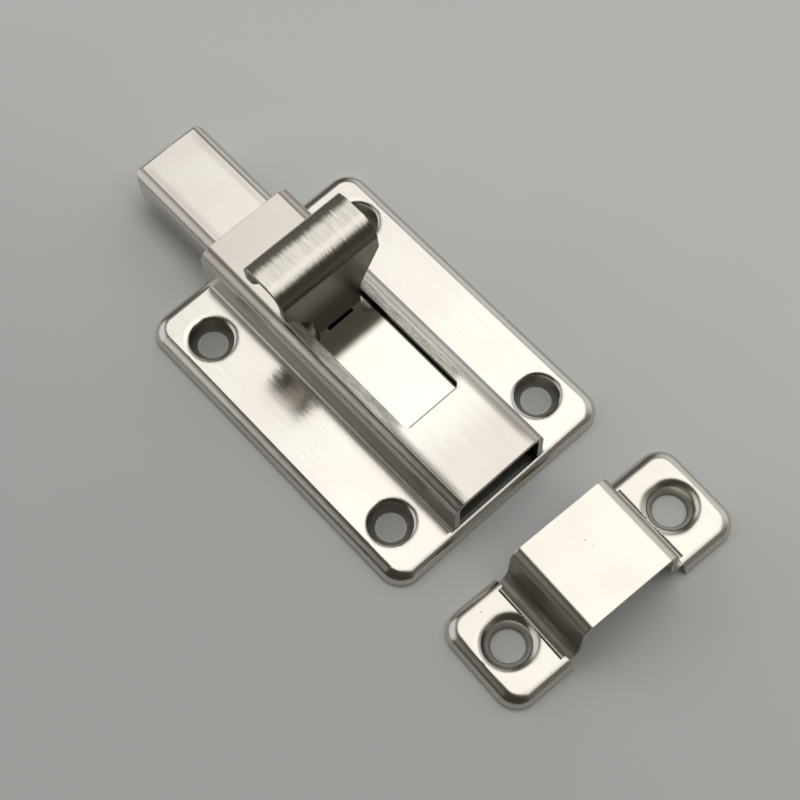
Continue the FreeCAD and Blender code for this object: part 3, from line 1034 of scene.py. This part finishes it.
@dataclass(frozen=True)
class LatchHousing:
    """The fixed pieces: face plate, back plate, keeper and spring."""

    plate: SheetPiece = SheetPiece("face_plate", "plate_pressing", PLATE_STEEL, HOUSING)
    back: SheetPiece = SheetPiece("back_plate", "back_closer", BACK_STEEL, HOUSING, ease=0.08 * MM)
    keeper: SheetPiece = SheetPiece("keeper", "keeper_strap", KEEPER_STEEL, HOUSING, ease=0.16 * MM,
                                    segments=3)

    def build(self, nodes: dict[str, bpy.types.Object]) -> None:
        """Builds the fixed pieces.

        Args:
            nodes: the CAD nodes by name.
        """
        for part in (self.plate, self.back, self.keeper):
            part.build(nodes[part.node])
        low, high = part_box("return_spring")
        wire = ReturnSpring.wire_radius
        ReturnSpring(start_x=low.x + wire, length=high.x - low.x - 2 * wire,
                     axis_z=(low.z + high.z) / 2).build()


@dataclass(frozen=True)
class BoltSlider:
    """The moving pieces: bolt and thumb tab."""

    bolt: SheetPiece = SheetPiece("bolt", "bolt_channel", BOLT_STEEL, SLIDER)
    tab: SheetPiece = SheetPiece("thumb_tab", "thumb_hook", TAB_STEEL, SLIDER)

    def build(self, nodes: dict[str, bpy.types.Object]) -> None:
        """Builds the moving pieces.

        Args:
            nodes: the CAD nodes by name.
        """
        for part in (self.bolt, self.tab):
            part.build(nodes[part.node])


@dataclass(frozen=True)
class LightPool:
    """A soft oval of light on the room's dome, in the dome's flattened view from below.

    The view's middle is straight up, its unit circle is the horizon, and +X and +Y are the frame's.
    """

    name: str
    centre: tuple[float, float]
    reach: tuple[float, float]
    softness: float
    colour: Colour

    def paint(self, sheet: NodeSheet, across: Socket, along: Socket, under: Any) -> Socket:
        """Paints the pool over what the dome already shows.

        Args:
            sheet: the world's nodes.
            across: the flattened view's X.
            along: its Y.
            under: the colour so far.

        Returns:
            The colour with the pool in it.
        """
        parts = []
        for place, middle, reach in zip((across, along), self.centre, self.reach):
            apart = sheet.maths("DIVIDE", sheet.maths("SUBTRACT", place, middle), reach)
            parts.append(sheet.maths("MULTIPLY", apart, apart))
        distance = sheet.maths("SQRT", sheet.maths("ADD", *parts))
        share = sheet.ramp(distance, 1.0 - self.softness, 1.0 + self.softness, 1.0, 0.0)
        return sheet.blend(share, under, self.colour)


@dataclass(frozen=True)
class Studio:
    """The floor, the room's light and the camera."""

    floor_size: float = 3.0
    floor_z: float = -0.02 * MM
    camera_place: Point = (-0.093426, 0.071477, 0.260166)
    camera_right: Point = (-0.6754, -0.7371, -0.0236)
    camera_down: Point = (-0.6705, 0.6271, -0.3964)
    focal_mm: float = 80.59
    sensor_mm: float = 36.0
    clip_start: float = 10 * MM
    dark_wall: Colour = (0.056, 0.051, 0.038)
    nadir_guard: float = 0.001
    pools: tuple[LightPool, ...] = (
        LightPool("pale_side_wall", (-0.05, -0.62), (0.60, 0.34), 0.35, (0.78, 0.78, 0.77)),
        LightPool("dim_rear_wall", (-0.72, -0.36), (0.46, 0.34), 0.60, (0.22, 0.21, 0.19)),
        LightPool("pale_front_wall", (0.55, 0.38), (0.36, 0.44), 0.32, (0.90, 0.885, 0.855)),
        LightPool("dark_front_corner", (0.60, -0.16), (0.24, 0.14), 0.45, (0.15, 0.14, 0.13)),
        LightPool("window_halo", (-0.01, -0.14), (0.34, 0.13), 0.28, (1.42, 1.395, 1.33)),
        LightPool("window_glow", (0.05, -0.14), (0.15, 0.12), 0.40, (1.66, 1.64, 1.57)),
    )

    def build(self) -> None:
        """Builds the floor, the light and the camera."""
        self.floor()
        self.sky()
        self.camera()
        bpy.context.scene.view_settings.view_transform = "Standard"

    def floor(self) -> None:
        """Lays the floor, which isn't part of the object."""
        half = self.floor_size / 2
        mesh = bpy.data.meshes.new("floor")
        mesh.from_pydata([(-half, -half, self.floor_z), (half, -half, self.floor_z),
                          (half, half, self.floor_z), (-half, half, self.floor_z)], [], [(0, 1, 2, 3)])
        mesh.materials.append(FloorFinish().material())
        linked("floor", mesh)

    def sky(self) -> None:
        """Sets the room's light: dark walls with soft pale pools on them, and a window's glow overhead."""
        world = bpy.data.worlds.new("room")
        bpy.context.scene.world = world
        world.use_nodes = True
        sheet = NodeSheet(world.node_tree)
        x, y, z = sheet.split(sheet.output("ShaderNodeTexCoord", result="Generated"))
        rise = sheet.maths("ADD", z, 1.0 + self.nadir_guard)
        across, along = sheet.maths("DIVIDE", x, rise), sheet.maths("DIVIDE", y, rise)
        room: Any = self.dark_wall
        for pool in self.pools:
            room = pool.paint(sheet, across, along, room)
        lit = sheet.output("ShaderNodeBackground", {"Color": room}, "Background")
        sheet.node("ShaderNodeOutputWorld", {"Surface": lit})

    def camera(self) -> None:
        """Sets up the camera at the photograph's viewing angle."""
        right = Vector(self.camera_right).normalized()
        up = -Vector(self.camera_down)
        up = (up - right * up.dot(right)).normalized()
        back = right.cross(up)
        lens = bpy.data.cameras.new("camera")
        lens.lens = self.focal_mm
        lens.sensor_width = self.sensor_mm
        lens.clip_start = self.clip_start
        camera = linked("camera", lens)
        turn = Matrix((right, up, back)).transposed()
        camera.matrix_world = Matrix.Translation(self.camera_place) @ turn.to_4x4()
        bpy.context.scene.camera = camera


def main() -> None:
    """Builds the looks round the CAD frame."""
    logging.basicConfig(level=logging.INFO, format="%(message)s")
    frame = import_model()
    LatchHousing().build(frame["nodes"])
    BoltSlider().build(frame["nodes"])
    Studio().build()


if __name__ == "__main__":
    main()
